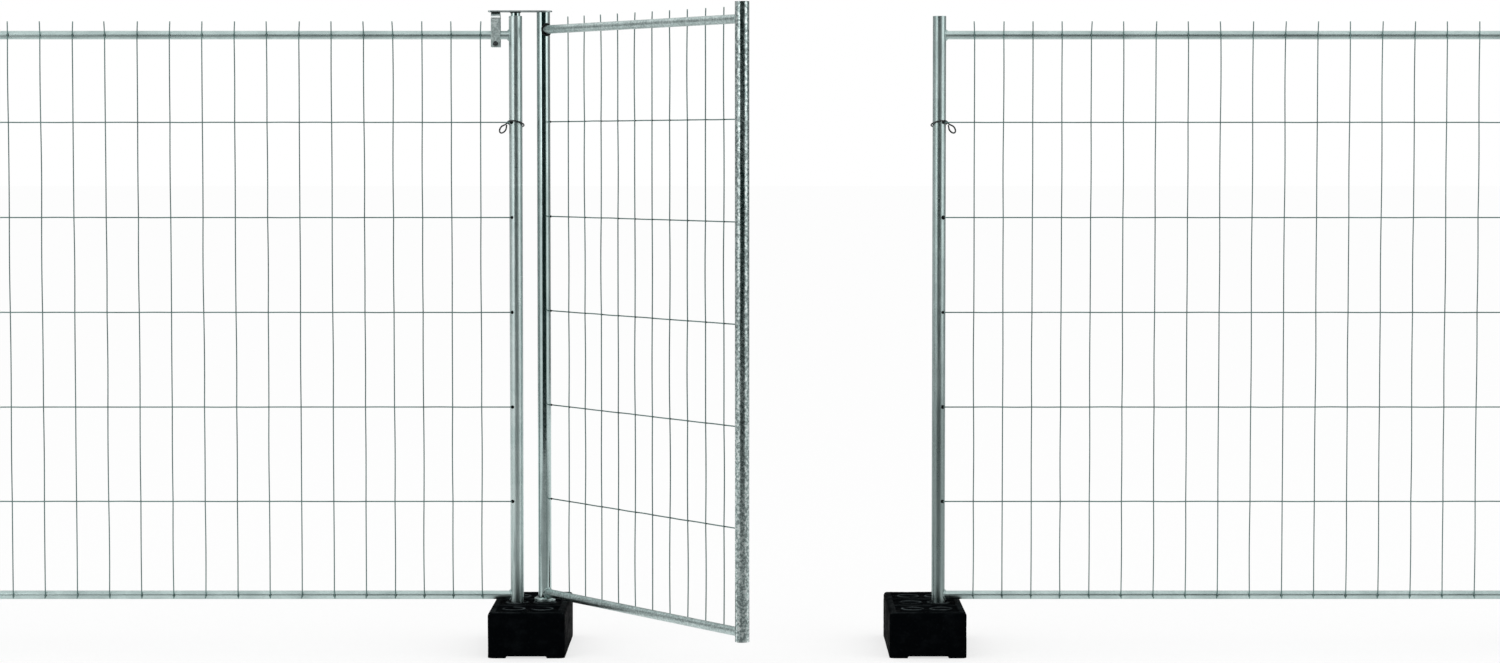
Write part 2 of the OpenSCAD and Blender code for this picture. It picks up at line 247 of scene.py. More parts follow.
# Weld beads round the rails' ends: radius, and the radius of the leaf's dark one, made large as it also
# serves as painted shadow round the rail's end
BEAD_R = 0.0026
LEAF_BEAD_AND_SHADE_R = 0.0046

# A bead's shape, in its radii: how far it stands off, its thickness at the sides, its gain above and below
BEAD_STANDOFF = 0.25
BEAD_SIDE = 0.6
BEAD_CROWN = 0.75

# Ripples of a bead: their height in its radii, and their length
RIPPLE_HEIGHT = 0.1
RIPPLE_LENGTH = 0.0021

# Sampling of a bead: steps along it, and sides
BEAD_STEPS = 96
BEAD_SIDES = 8

# Bead round the spigot's neck: the neck's radius, the bead's own, its place outward and below the plate
NECK_R = 0.015
NECK_BEAD_R = 0.0018
NECK_BEAD_OUT = 0.0006
NECK_BEAD_DROP = 0.001
NECK_BEAD_STEPS = 72

# Beads along the strap's top: radius, distance from the fence line, and depth below the plate. Their dark
# weld metal also serves as painted shadow under the plate.
STRAP_BEAD_R = 0.0027
STRAP_BEAD_SIDE = 0.0095
STRAP_BEAD_DROP = 0.0022

# Their run: the share of the strap's width left free at each end, steps along it, and sides
STRAP_BEAD_INSET = 0.04
STRAP_BEAD_STEPS = 30
STRAP_BEAD_SIDES = 10

# Softened edges of the pressed and turned pieces, and their sampling
LIP = 0.0005
PLATE_EDGE = 0.0009
COLLAR_EDGE = 0.003
HEAD_EDGE = 0.0007
EDGE_SEGMENTS = 3

# Faces that turn less than the flat angle are joined, and edges above the sharp angle are softened
FLAT_ANGLE = math.radians(1)
SHARP_ANGLE = math.radians(35)

# Outer radius of the strap's bend over the rail
STRAP_BEND_R = 0.020

# Wire clips: the solid's ring, neck and eye
CLIP_WIRE_R = 0.0025
CLIP_RING_R = 0.026
CLIP_TILT = math.radians(19)
CLIP_ROLL = math.radians(10)
CLIP_NECK = 0.014
CLIP_EYE_R = 0.013
EYE_TURN = math.radians(58)
NECK_SLOPE = math.radians(65)

# Ring of a clip's wire: where it starts, and how far it turns
RING_START = math.radians(9)
RING_TURN = math.radians(338)

# Eye of a clip's wire: shares of the neck where it begins and ends, spring of its tip, lap in wire radii
EYE_START = 0.35
EYE_END = 0.3
TIP_SPRING = 0.001
EYE_LAP = 1.05

# Points laid round the eye and round the ring, and steps from one to the next
EYE_POINTS = 12
RING_POINTS = 28
RUN_STEPS = 5

# Feet: voxels of the moulded skin, rounds of smoothing, and the share of its faces that is kept
FOOT_VOXEL = 0.002
FOOT_SMOOTHING = 2
FOOT_KEEP = 0.25

# Waves and grain of a foot's skin: size and depth
FOOT_WAVE = (0.060, 0.0009)
FOOT_GRAIN = (0.009, 0.0004)

# Solids: points nearer than a seam are one, and points this near an end lie on its face
SEAM = 1e-6
END_FACE = 1e-5

# A colour mix's sockets
MIX_FIRST = 6
MIX_SECOND = 7
MIX_RESULT = 2


class Shader:
    """A material's node tree, with short calls for what the materials share."""

    def __init__(self, name):
        self.material = bpy.data.materials.new(name)
        self.material.use_nodes = True
        self.nodes = self.material.node_tree.nodes
        self.links = self.material.node_tree.links
        self.surface = self.nodes["Principled BSDF"]
        self.place = self.nodes.new("ShaderNodeTexCoord").outputs["Object"]

    def join(self, value, socket):
        """Links a socket's value, or sets a plain one."""
        if isinstance(value, bpy.types.NodeSocket):
            self.links.new(value, socket)
        else:
            socket.default_value = value

    def node(self, kind, settings=None, **inputs):
        """A new node. The inputs' names have underscores for spaces."""
        made = self.nodes.new("ShaderNode" + kind)
        for key, value in (settings or {}).items():
            setattr(made, key, value)
        for key, value in inputs.items():
            self.join(value, made.inputs[key.replace("_", " ")])
        return made

    def stretched(self, scale):
        """The place on the piece, with its axes scaled apart."""
        return self.node("Mapping", Vector=self.place, Scale=scale).outputs["Vector"]

    def noise(self, size, detail=3.0, rough=0.5, at=None):
        """Cloudy noise whose lumps are about that size, from 0 to 1."""
        place = at or self.place
        made = self.node("TexNoise", Vector=place, Scale=1 / size, Detail=detail, Roughness=rough)
        return made.outputs["Fac"]

    def cells(self, size):
        """Crystals of about that size: a random colour for each."""
        return self.node("TexVoronoi", Vector=self.place, Scale=1 / size).outputs["Color"]

    def ramp(self, value, low, high, out_low=0.0, out_high=1.0):
        """Maps the range from low to high on the output's range, and stops at its ends."""
        made = self.node("MapRange", {"clamp": True}, Value=value)
        limits = {"From Min": low, "From Max": high, "To Min": out_low, "To Max": out_high}
        for key, number in limits.items():
            self.join(number, made.inputs[key])
        return made.outputs["Result"]

    def spread(self, value, out_low, out_high):
        """A noise's usual values, spread over the output's range."""
        return self.ramp(value, *NOISE_BAND, out_low, out_high)

    def math(self, operation, a, b=0.0):
        """One step of arithmetic."""
        made = self.node("Math", {"operation": operation})
        self.join(a, made.inputs[0])
        self.join(b, made.inputs[1])
        return made.outputs["Value"]

    def mix(self, share, a, b):
        """Colour a, with that share of colour b."""
        made = self.node("Mix", {"data_type": "RGBA"})
        self.join(share, made.inputs["Factor"])
        self.join(a, made.inputs[MIX_FIRST])
        self.join(b, made.inputs[MIX_SECOND])
        return made.outputs[MIX_RESULT]

    def bump(self, height, depth):
        """A surface whose height runs over that depth."""
        made = self.node("Bump", Height=height, Strength=1.0, Distance=depth)
        self.links.new(made.outputs["Normal"], self.surface.inputs["Normal"])

    def set(self, **inputs):
        """Sets the surface's inputs and gives the finished material."""
        for key, value in inputs.items():
            self.join(value, self.surface.inputs[key.replace("_", " ")])
        return self.material


def galvanised(name, along, roughness, ripple, crystal=0.006, tones=ZINC_TONES, lumps=0.0, speckle=0.0,
               speck=0.007, dark_below=0.0, bend=0.0):
    """Hot-dipped zinc: crystals, runs along the piece, dull patches and a rippled skin.

    Ripple and lumps are depths of the skin, and crystal and speck are sizes. Speckle is how strongly dark
    specks and bright drops tint. Dark_below is the height below which the zinc turns darker, and bend the
    height above which the bend gets a painted highlight of bright zinc.
    """
    s = Shader(name)
    plain, dull, pale = tones
    run_place = s.stretched(along)
    runs = s.noise(RUN_SIZE, at=run_place)
    patches = s.noise(PATCH_SIZE)
    crystals = s.cells(crystal)
    specks = s.noise(speck, detail=2.0, rough=0.6)
    height = s.node("SeparateXYZ", Vector=s.place).outputs["Z"]
    tone = s.mix(s.ramp(patches, *PATCH_LEVELS), plain, dull)
    tone = s.mix(s.ramp(runs, *RUN_LEVELS, 0.0, RUN_TINT), tone, pale)
    tone = s.mix(s.ramp(crystals, *CRYSTAL_LEVELS, 0.0, CRYSTAL_TINT), tone, dull)
    tone = s.mix(s.ramp(specks, *SPECKLE_LEVELS, 0.0, speckle), tone, SPECKLE)
    tone = s.mix(s.ramp(specks, *DROP_LEVELS, 0.0, speckle), tone, ZINC_BRIGHT)
    # Darker towards the bottom, below the given height, with an edge that the runs make uneven
    if dark_below:
        low_edge = s.math("ADD", height, s.spread(runs, -LOW_EDGE_REACH, LOW_EDGE_REACH))
        fade_top, fade_bottom = dark_below * (1 + LOW_EDGE_FADE), dark_below * (1 - LOW_EDGE_FADE)
        tone = s.mix(s.ramp(low_edge, fade_top, fade_bottom, 0.0, LOW_DARK_TINT), tone, LOW_DARK_ZINC)
    streaks = s.spread(runs, *(roughness + change for change in RUN_ROUGH))
    rough = s.math("ADD", streaks, s.ramp(crystals, 0.0, 1.0, *CRYSTAL_ROUGH))
    # Painted highlight: above its height the bend is painted bright zinc, and it is made smoother too
    if bend:
        bend_highlight = s.ramp(height, bend + BEND_START, bend + BEND_FULL)
        tone = s.mix(bend_highlight, tone, ZINC_BRIGHT)
        rough = s.math("SUBTRACT", rough, s.math("MULTIPLY", bend_highlight, BEND_POLISH))
    waves = s.math("MULTIPLY", s.noise(RIPPLE_SIZE, detail=2.0, at=run_place), ripple)
    dips = s.math("MULTIPLY", s.noise(DIP_SIZE, detail=2.0), lumps)
    s.bump(s.math("ADD", waves, dips), depth=1.0)
    return s.set(Base_Color=tone, Metallic=1.0, Roughness=rough)


def marked_steel(name, tones, size, levels, grain, depth, roughness):
    """Steel in two tones: marks of that size set in between two noise levels, on a grained skin."""
    s = Shader(name)
    plain, marked = tones
    marks = s.noise(size, detail=4.0)
    tone = s.mix(s.ramp(marks, *levels), plain, marked)
    s.bump(s.noise(grain), depth)
    return s.set(Base_Color=tone, Metallic=1.0, Roughness=s.spread(marks, *roughness))


def recycled_plastic(name, centre, top):
    """Black moulded scrap plastic: grains, flow marks, scuff marks and rings that stacking has worn grey.
    The rings, worn edges and scuff marks are lighter partly as painted highlights.

    The centre is the foot's place along the fence, and top the height of its rings.
    """
    s = Shader(name)
    grains = s.cells(GRAIN_SIZE)
    flow = s.noise(FLOW_SIZE, detail=5.0, rough=0.6, at=s.stretched(FLOW_STRETCH))
    scuffs_and_sheen = s.noise(SCUFF_SIZE, detail=6.0, rough=0.75, at=s.stretched(SCUFF_STRETCH))
    tone = s.mix(s.ramp(grains, *GRAIN_LEVELS, 0.0, GRAIN_TINT), PLASTIC, PLASTIC_GRAIN)
    tone = s.mix(s.ramp(flow, *FLOW_LEVELS, 0.0, FLOW_TINT), tone, PLASTIC_GRAIN)
    # Scuff marks, lighter partly as painted sheen
    tone = s.mix(s.ramp(scuffs_and_sheen, *SCUFF_LEVELS, 0.0, SCUFF_TINT), tone, PLASTIC_SCUFF_AND_SHEEN)

    # Pointed edges lighter: partly worn, partly a painted highlight
    edges = s.ramp(s.node("NewGeometry").outputs["Pointiness"], *WORN_EDGE)
    wear_and_glint = s.math("MULTIPLY", edges, s.ramp(flow, *WORN_LEVELS, WORN_LEAST, 1.0))
    tone = s.mix(wear_and_glint, tone, PLASTIC_WEAR_AND_GLINT)

    # Distance from the middle line of the nearest ring
    split = s.node("SeparateXYZ", Vector=s.place).outputs
    off_middle = s.math("ABSOLUTE", s.math("SUBTRACT", split["X"], centre))
    across = s.math("SUBTRACT", off_middle, RING_PITCH / 2)
    row = s.math("SNAP", s.math("ADD", split["Y"], RING_ROW / 2), RING_ROW)
    flat = s.node("CombineXYZ", X=across, Y=s.math("SUBTRACT", split["Y"], row)).outputs["Vector"]
    reach = s.node("VectorMath", {"operation": "LENGTH"}, Vector=flat).outputs["Value"]
    off_ring = s.math("ABSOLUTE", s.math("SUBTRACT", reach, RING_R))

    # Lighter rings, partly worn by stacking and partly a painted highlight on their rims
    ring = s.ramp(off_ring, RING_HALF, RUB_HALF, RUB_LEAST, 1.0)
    raised = s.ramp(split["Z"], top - RUB_START, top - RUB_FULL)
    rub_glint_patches = s.ramp(s.noise(RUB_SIZE, detail=6.0, rough=0.65), *RUB_LEVELS)
    ring_rub_and_glint = s.math("MULTIPLY", s.math("MULTIPLY", ring, raised), rub_glint_patches)
    tone = s.mix(ring_rub_and_glint, tone, PLASTIC_RUB_AND_GLINT)
    pits = s.noise(PIT_SIZE, detail=5.0, rough=0.7)
    s.bump(s.math("ADD", pits, flow), SKIN_DEPTH)
    rough = s.spread(flow, *PLASTIC_ROUGH)
    return s.set(Base_Color=tone, Roughness=rough, Specular_IOR_Level=PLASTIC_SHINE)


# Ways in which zinc runs are drawn out: an axis with a small number is the long one
UPWARD = (1.0, 1.0, 0.05)
SIDEWAYS = (0.05, 1.0, 1.0)
UP_WIRE = (1.0, 1.0, 0.1)
ALONG_WIRE = (0.1, 1.0, 1.0)
LEVEL = (0.4, 0.4, 1.0)
SHORT_SIDEWAYS = (0.4, 1.0, 1.0)
SHORT_UPWARD = (1.0, 1.0, 0.4)
EVEN = (1.0, 1.0, 1.0)

MATERIALS = {
    "post": galvanised(
        "galvanised_post", UPWARD, roughness=0.31, ripple=0.0002, tones=POST_TONES, lumps=0.00002, dark_below=0.28
    ),
    "dark_low_post": galvanised(
        "galvanised_dark_low_post", UPWARD, roughness=0.30, ripple=0.0002, lumps=0.00002, dark_below=1.0
    ),
    "leaf_post": galvanised(
        "galvanised_leaf_post", UPWARD, roughness=0.10, ripple=0.0002, tones=LEAF_TONES, lumps=0.00004
    ),
    "spangled_post": galvanised(
        "galvanised_spangled_post", UPWARD, roughness=0.22, ripple=0.0002, crystal=0.009, lumps=0.0001,
        speckle=0.6, speck=0.008
    ),
    "rail": galvanised("galvanised_rail", SIDEWAYS, roughness=0.33, ripple=0.0002, lumps=0.00005),
    "leaf_rail": galvanised(
        "galvanised_leaf_rail", LEVEL, roughness=0.36, ripple=0.0003, crystal=0.008, lumps=0.0003,
        speckle=0.28
    ),
    "upright": galvanised(
        "galvanised_upright", UP_WIRE, roughness=0.30, ripple=0.0001, crystal=0.004, tones=WIRE_TONES
    ),
    "cross_wire": galvanised(
        "galvanised_cross_wire", ALONG_WIRE, roughness=0.30, ripple=0.0001, crystal=0.004, tones=WIRE_TONES
    ),
    "plate": galvanised(
        "galvanised_plate", SHORT_SIDEWAYS, roughness=0.36, ripple=0.0002, crystal=0.007, tones=PLATE_TONES,
        lumps=0.0001
    ),
    # The strap's bend gets a painted highlight
    "strap": galvanised(
        "galvanised_strap", SHORT_UPWARD, roughness=0.48, ripple=0.0003, crystal=0.005, tones=STRAP_TONES,
        lumps=0.0003, speckle=0.3, bend=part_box("rail_strap")[1].z - STRAP_BEND_R
    ),
    "collar": galvanised(
        "galvanised_collar", EVEN, roughness=0.3, ripple=0.0002, lumps=0.0002, speckle=0.2
    ),
    "bead": galvanised("galvanised_bead", EVEN, roughness=0.38, ripple=0.0001, crystal=0.004, lumps=0.0002),
    "fastener": marked_steel(
        "zinc_fastener_plating", (PLATING, GRIME), size=0.004, levels=(0.35, 0.6), grain=0.0015,
        depth=0.0001, roughness=(0.3, 0.55)
    ),
    "clip": marked_steel(
        "clip_steel", (CLIP_SKIN, CLIP_BARE), size=0.006, levels=(0.45, 0.7), grain=0.002,
        depth=0.00008, roughness=(0.42, 0.26)
    ),
    "weld": marked_steel(
        "weld_metal", (WELD_DARK, WELD_GREY), size=0.003, levels=(0.5, 0.75), grain=0.0018,
        depth=0.00025, roughness=(0.5, 0.36)
    ),
}
STEEL = "galvanised_steel"


def dress(node, finish):
    """Gives a solid that stays as it is its material."""
    mesh = NODES[node].data
    mesh.materials.clear()
    mesh.materials.append(MATERIALS[finish])


def piece(name, bm, finish, slot, body, *stands_for):
    """Turns a built mesh into a piece that rides on a body and stands for solids, if any."""
    mesh = bpy.data.meshes.new(name)
    bm.to_mesh(mesh)
    bm.free()
    mesh.shade_smooth()
    mesh.materials.append(MATERIALS[finish])
    made = bpy.data.objects.new(name, mesh)
    bpy.context.scene.collection.objects.link(made)
    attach(made, body)
    if stands_for:
        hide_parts(*stands_for)
    return made


def welded_mesh(node):
    """A solid's mesh with its seams closed."""
    bm = bmesh.new()
    bm.from_mesh(NODES[node].data)
    bmesh.ops.remove_doubles(bm, verts=bm.verts, dist=SEAM)
    return bm


def solids_of(node):
    """The vertex places of each separate solid in a node."""
    bm = welded_mesh(node)
    seen = set()
    found = []
    for start in bm.verts:
        if start in seen:
            continue
        seen.add(start)
        group, front = [start], [start]
        while front:
            near = [edge.other_vert(vert) for vert in front for edge in vert.link_edges]
            front = [vert for vert in dict.fromkeys(near) if vert not in seen]
            seen.update(front)
            group.extend(front)
        found.append([vert.co.copy() for vert in group])
    bm.free()
    return found


def ends_along(points, direction):
    """The middles of a round bar's two end faces."""
    reach = [point.dot(direction) for point in points]
    ends = []
    for end in (min(reach), max(reach)):
        ring = [point for point, at in zip(points, reach) if abs(at - end) < END_FACE]
        ends.append(sum(ring, Vector()) / len(ring))
    return ends


def middle(node):
    """The middle of a node's box."""
    low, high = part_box(node)
    return (low + high) / 2


def axis_of(post):
    """A post's axis on the ground."""
    centre = middle(post)
    return Vector((centre.x, centre.y, 0.0))


def sweep(bm, points, radii, sides, normals=None):
    """A round tube along the points, with capped ends. With normals given it closes on itself instead."""
    closed = normals is not None
    count = len(points)
    rings = []
    normal = None
    for i, point in enumerate(points):
        ahead = points[(i + 1) % count] if closed else points[min(i + 1, count - 1)]
        behind = points[i - 1] if closed else points[max(i - 1, 0)]
        tangent = (ahead - behind).normalized()
        guide = normals[i] if closed else normal or tangent.orthogonal()
        normal = (guide - tangent * guide.dot(tangent)).normalized()
        other = tangent.cross(normal)
        ring = []
        for k in range(sides):
            turn = FULL_TURN * k / sides
            outward = math.cos(turn) * normal + math.sin(turn) * other
            ring.append(bm.verts.new(point + radii[i] * outward))
        rings.append(ring)
    pairs = list(zip(rings, rings[1:]))
    if closed:
        pairs.append((rings[-1], rings[0]))
    for low, high in pairs:
        for k in range(sides):
            following = (k + 1) % sides
            bm.faces.new((low[k], low[following], high[following], high[k]))
    if not closed:
        bm.faces.new(list(reversed(rings[0])))
        bm.faces.new(rings[-1])


def cut_wire(bm, points, radius):
    """A wire along the points, with its cut ends slightly rounded."""
    first = (points[1] - points[0]).normalized() * radius * CUT_LENGTH
    last = (points[-2] - points[-1]).normalized() * radius * CUT_LENGTH
    run = [points[0], points[0] + first, *points[1:-1], points[-1] + last, points[-1]]
    radii = [radius * CUT_R] + [radius] * (len(run) - 2) + [radius * CUT_R]
    sweep(bm, run, radii, WIRE_SIDES)


def bowed(start, end, knots, side, bow, lean, rng):
    """Points along a wire that its welds hold at the knots. It bows between them, and its tips lean."""
    axis = (end - start).normalized()
    length = (end - start).length
    stops = [0.0, *knots, length]
    points = []
    for i, (low, high) in enumerate(zip(stops, stops[1:])):
        reach = rng.uniform(-1.0, 1.0)
        for step in range(SPAN_STEPS):
            share = step / SPAN_STEPS
            if i == 0:
                sway = lean * reach * (1 - share)
            elif i == len(stops) - 2:
                sway = lean * reach * share
            else:
                sway = bow * reach * math.sin(math.pi * share)
            points.append(start + axis * (low + (high - low) * share) + side * sway)
    points.append(end + side * lean * reach)
    return points


def lumpy(place, lump):
    """How much a weld swells at a place, for its lumps' share and number."""
    share, number = lump
    return share * noise.noise(place * number)


def nugget(bm, place, axes, half, rng):
    """A lump of weld metal, with half sizes along three axes."""
    turned = Matrix(axes).transposed().to_4x4()
    size = [part * rng.uniform(*NUGGET_SPREAD) for part in half]
    shape = Matrix.Translation(place) @ turned @ Matrix.Diagonal((*size, 1.0))
    made = bmesh.ops.create_icosphere(bm, subdivisions=2, radius=1.0, matrix=shape)
    for vert in made["verts"]:
        away = vert.co - place
        vert.co = place + away * (1 + lumpy(vert.co, NUGGET_LUMP))


def saddle_bead(bm, axis, direction, height, post_r, rail_r, bead_r):
    """The weld round a rail's coped end, on the post that it meets."""
    across = UP.cross(direction)
    standoff = bead_r * BEAD_STANDOFF
    ring_r = rail_r + standoff
    ripples = FULL_TURN * ring_r / RIPPLE_LENGTH
    points, normals, radii = [], [], []
    for i in range(BEAD_STEPS):
        turn = FULL_TURN * i / BEAD_STEPS
        outward = across * math.sin(turn) + UP * math.cos(turn)
        reach = math.sqrt(post_r ** 2 - (ring_r * math.sin(turn)) ** 2) + standoff
        place = axis + UP * height + direction * reach + outward * ring_r
        thickness = BEAD_SIDE + BEAD_CROWN * abs(math.cos(turn)) + RIPPLE_HEIGHT * math.sin(turn * ripples)
        points.append(place)
        normals.append(outward)
        radii.append(bead_r * (thickness + lumpy(place, BEAD_LUMP)))
    sweep(bm, points, radii, BEAD_SIDES, normals)


def neck_bead(bm, centre, ring_r):
    """The weld round the spigot's neck, under the plate."""
    turns = [FULL_TURN * i / NECK_BEAD_STEPS for i in range(NECK_BEAD_STEPS)]
    normals = [Vector((math.cos(turn), math.sin(turn), 0.0)) for turn in turns]
    points = [centre + normal * ring_r for normal in normals]
    radii = [NECK_BEAD_R * (1 + lumpy(point, NECK_LUMP)) for point in points]
    sweep(bm, points, radii, BEAD_SIDES, normals)


def build_mesh_panel(group, body, first_post, last_post, seed, bow, post_weld=1.0, dark_bead_r=0.0):
    """Wires and welds of one mesh: its wires bow a little, and each crossing has a nugget.

    Post_weld scales the nuggets at the posts. Zinc covers the beads round the rails' ends, apart from a
    dark one of weld metal at the first post's upper rail, if a radius is given for it. That one is large as
    it also serves as painted shadow round the rail's end.
    """
    rng = random.Random(seed)
    start, finish = axis_of(first_post), axis_of(last_post)
    along = (finish - start).normalized()
    uprights = [ends_along(points, UP) for points in solids_of(group + "_uprights")]
    crosses = [ends_along(points, along) for points in solids_of(group + "_cross_wires")]
    uprights.sort(key=lambda ends: ends[0].dot(along))
    crosses.sort(key=lambda ends: ends[0].z)
    rails = (group + "_top_rail", group + "_bottom_rail")
    rail_zs = sorted(middle(rail).z for rail in rails)
    rail_low, rail_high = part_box(rails[0])
    rail_r = (rail_high.z - rail_low.z) / 2
    post_low, post_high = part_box(first_post)
    post_r = (post_high.x - post_low.x) / 2

    # The uprights lie against the rails and the cross wires against the uprights, which gives their radii
    outward = crosses[0][0] - start
    outward = outward - along * outward.dot(along)
    outward.z = 0.0
    outward.normalize()
    upright_at = (uprights[0][0] - start).dot(outward)
    cross_at = (crosses[0][0] - start).dot(outward)
    upright_r = upright_at - rail_r
    cross_r = cross_at - upright_at - upright_r

    wires, cross_wires = bmesh.new(), bmesh.new()
    welds, beads = bmesh.new(), bmesh.new()
    axes = (along, outward, UP)
    levels = sorted([*rail_zs, *(ends[0].z for ends in crosses)])
    post_nugget = [part * post_weld for part in POST_NUGGET]
    for bottom, top in uprights:
        knots = [level - bottom.z for level in levels]
        cut_wire(wires, bowed(bottom, top, knots, along, bow, TIP_LEAN, rng), upright_r)
        for level in rail_zs:
            place = Vector((bottom.x, bottom.y, level)) - outward * upright_r
            nugget(welds, place, axes, RAIL_NUGGET, rng)
    for left, right in crosses:
        knots = [(bottom - left).dot(along) for bottom, top in uprights]
        cut_wire(cross_wires, bowed(left, right, knots, UP, CROSS_BOW, 0.0, rng), cross_r)
        for bottom, top in uprights:
            place = Vector((bottom.x, bottom.y, left.z)) + outward * upright_r
            nugget(welds, place, axes, CROSS_NUGGET, rng)
        for end in (left, right):
            nugget(welds, end - outward * cross_r * NUGGET_SINK, axes, post_nugget, rng)
    for axis, direction in ((start, along), (finish, -along)):
        for level in rail_zs:
            # The leaf's dark bead: weld metal that also serves as painted shadow round the rail's end
            if dark_bead_r and axis is start and level == rail_zs[-1]:
                saddle_bead(welds, axis, direction, level, post_r, rail_r, dark_bead_r)
            else:
                saddle_bead(beads, axis, direction, level, post_r, rail_r, BEAD_R)
    piece(group + "_upright_run", wires, "upright", STEEL, body, group + "_uprights")
    piece(group + "_cross_run", cross_wires, "cross_wire", STEEL, body, group + "_cross_wires")
    piece(group + "_welds", welds, "weld", STEEL, body)
    piece(group + "_beads", beads, "bead", STEEL, body)


def softened(node, finish, slot, edge):
    """A copy of a solid whose sharp edges are rounded."""
    bm = welded_mesh(node)
    bmesh.ops.dissolve_limit(bm, angle_limit=FLAT_ANGLE, verts=bm.verts, edges=bm.edges)
    inner = [side for side in bm.edges if len(side.link_faces) == 2]
    sharp = [side for side in inner if side.calc_face_angle() > SHARP_ANGLE]
    bmesh.ops.bevel(
        bm, geom=sharp, offset=edge, segments=EDGE_SEGMENTS, profile=0.5, affect="EDGES", clamp_overlap=True
    )
    made = piece(node + "_softened", bm, finish, slot, NODES[node]["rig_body"], node)
    made.modifiers.new("even_shading", "WEIGHTED_NORMAL").keep_sharp = False


def smooth_run(points, steps):
    """A smooth curve through the points."""
    run = []
    last = len(points) - 1
    for i in range(last):
        a, b, c, d = (points[min(max(k, 0), last)] for k in (i - 1, i, i + 1, i + 2))
        for step in range(steps):
            t = step / steps
            slope = (c - a) * t
            bend = (2 * a - 5 * b + 4 * c - d) * t ** 2
            twist = (3 * b - a - 3 * c + d) * t ** 3
            run.append((2 * b + slope + bend + twist) / 2)
    run.append(points[-1])
    return run


def build_clip(node, post):
    """A clip of spring wire: a finger eye, a neck, and a sloping ring round the post."""
    axis = axis_of(post)
    side = 1 if middle(node).x > axis.x else -1
    roll = Matrix.Rotation(-side * CLIP_ROLL, 3, "Y")
    tilt = Matrix.Rotation(-CLIP_TILT, 3, "X")
    rise = CLIP_RING_R * math.sqrt(1 - (math.cos(CLIP_TILT) * math.cos(CLIP_ROLL)) ** 2)
    centre = axis + UP * (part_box(node)[1].z - CLIP_WIRE_R - rise)

    # Out runs down the neck, over runs across the eye, and the wires lap where the eye closes
    out = Vector((side * math.cos(NECK_SLOPE), 0.0, -math.sin(NECK_SLOPE)))
    over = Vector((side * math.sin(NECK_SLOPE), 0.0, math.cos(NECK_SLOPE)))
    over = math.cos(EYE_TURN) * over + math.sin(EYE_TURN) * Vector((0.0, -1.0, 0.0))
    lap = out.cross(over) * side * CLIP_WIRE_R * EYE_LAP
    eye = Vector((side * CLIP_RING_R, 0.0, 0.0)) + out * (CLIP_NECK + CLIP_EYE_R)

    points = [eye - out * (CLIP_EYE_R + CLIP_NECK * EYE_START) + lap - over * TIP_SPRING]
    for i in range(1, EYE_POINTS):
        turn = FULL_TURN * i / EYE_POINTS
        shift = lap * (1 - 2 * i / EYE_POINTS)
        points.append(eye - CLIP_EYE_R * (math.cos(turn) * out + math.sin(turn) * over) + shift)
    points.append(eye - out * (CLIP_EYE_R + CLIP_NECK * EYE_END) - lap)
    for i in range(RING_POINTS + 1):
        turn = RING_START + RING_TURN * i / RING_POINTS
        points.append(tilt @ Vector((side * math.cos(turn), math.sin(turn), 0.0)) * CLIP_RING_R)
    bm = bmesh.new()
    cut_wire(bm, smooth_run([centre + roll @ point for point in points], RUN_STEPS), CLIP_WIRE_R)
    piece(node + "_wire", bm, "clip", "clip_wire", NODES[node]["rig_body"], node)


def applied(made):
    """The mesh that an object's modifiers make."""
    graph = bpy.context.evaluated_depsgraph_get()
    return bpy.data.meshes.new_from_object(made.evaluated_get(graph))


def build_foot(node):
    """A foot's solid as a moulding: soft edges, a wavy grained skin and no sharp line."""
    bm = welded_mesh(node)
    MATERIALS[node] = recycled_plastic(node + "_plastic", middle(node).x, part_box(node)[1].z)
    made = piece(node + "_moulding", bm, node, "recycled_plastic", NODES[node]["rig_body"], node)
    skin = made.modifiers.new("skin", "REMESH")
    skin.mode = "VOXEL"
    skin.voxel_size = FOOT_VOXEL
    soft = made.modifiers.new("soft", "SMOOTH")
    soft.iterations = FOOT_SMOOTHING
    made.data = applied(made)
    made.modifiers.clear()

    # Waves and grain only sink into the skin
    moved = []
    for vert in made.data.vertices:
        depth = sum(noise.noise(vert.co / size) * height for size, height in (FOOT_WAVE, FOOT_GRAIN))
        place = vert.co + vert.normal * min(depth, 0.0)
        moved.extend((place.x, place.y, max(place.z, 0.0)))
    made.data.vertices.foreach_set("co", moved)
    fewer = made.modifiers.new("fewer", "DECIMATE")
    fewer.ratio = FOOT_KEEP
    made.data = applied(made)
    made.modifiers.clear()
    made.data.shade_smooth()


def build_hinge_welds():
    """Welds of the top hinge: round the spigot's neck, and along both sides of the strap's top. The dark
    beads on the strap also serve as painted shadow under the plate.
    """
    bm = bmesh.new()
    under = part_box("top_hinge_plate")[0].z
    post = axis_of("left_gate_post")
    neck_bead(bm, post + UP * (under - NECK_BEAD_DROP), NECK_R + NECK_BEAD_OUT)
    strap_low, strap_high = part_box("rail_strap")
    width = strap_high.x - strap_low.x
    height = under - STRAP_BEAD_DROP
    for side in (-1, 1):
        run = []
        for i in range(STRAP_BEAD_STEPS + 1):
            share = STRAP_BEAD_INSET + (1 - 2 * STRAP_BEAD_INSET) * i / STRAP_BEAD_STEPS
            run.append(Vector((strap_low.x + width * share, side * STRAP_BEAD_SIDE, height)))
        radii = [STRAP_BEAD_R * (1 + lumpy(point, STRAP_LUMP)) for point in run]
        sweep(bm, run, radii, STRAP_BEAD_SIDES)
    piece("hinge_welds", bm, "weld", STEEL, "left_panel")


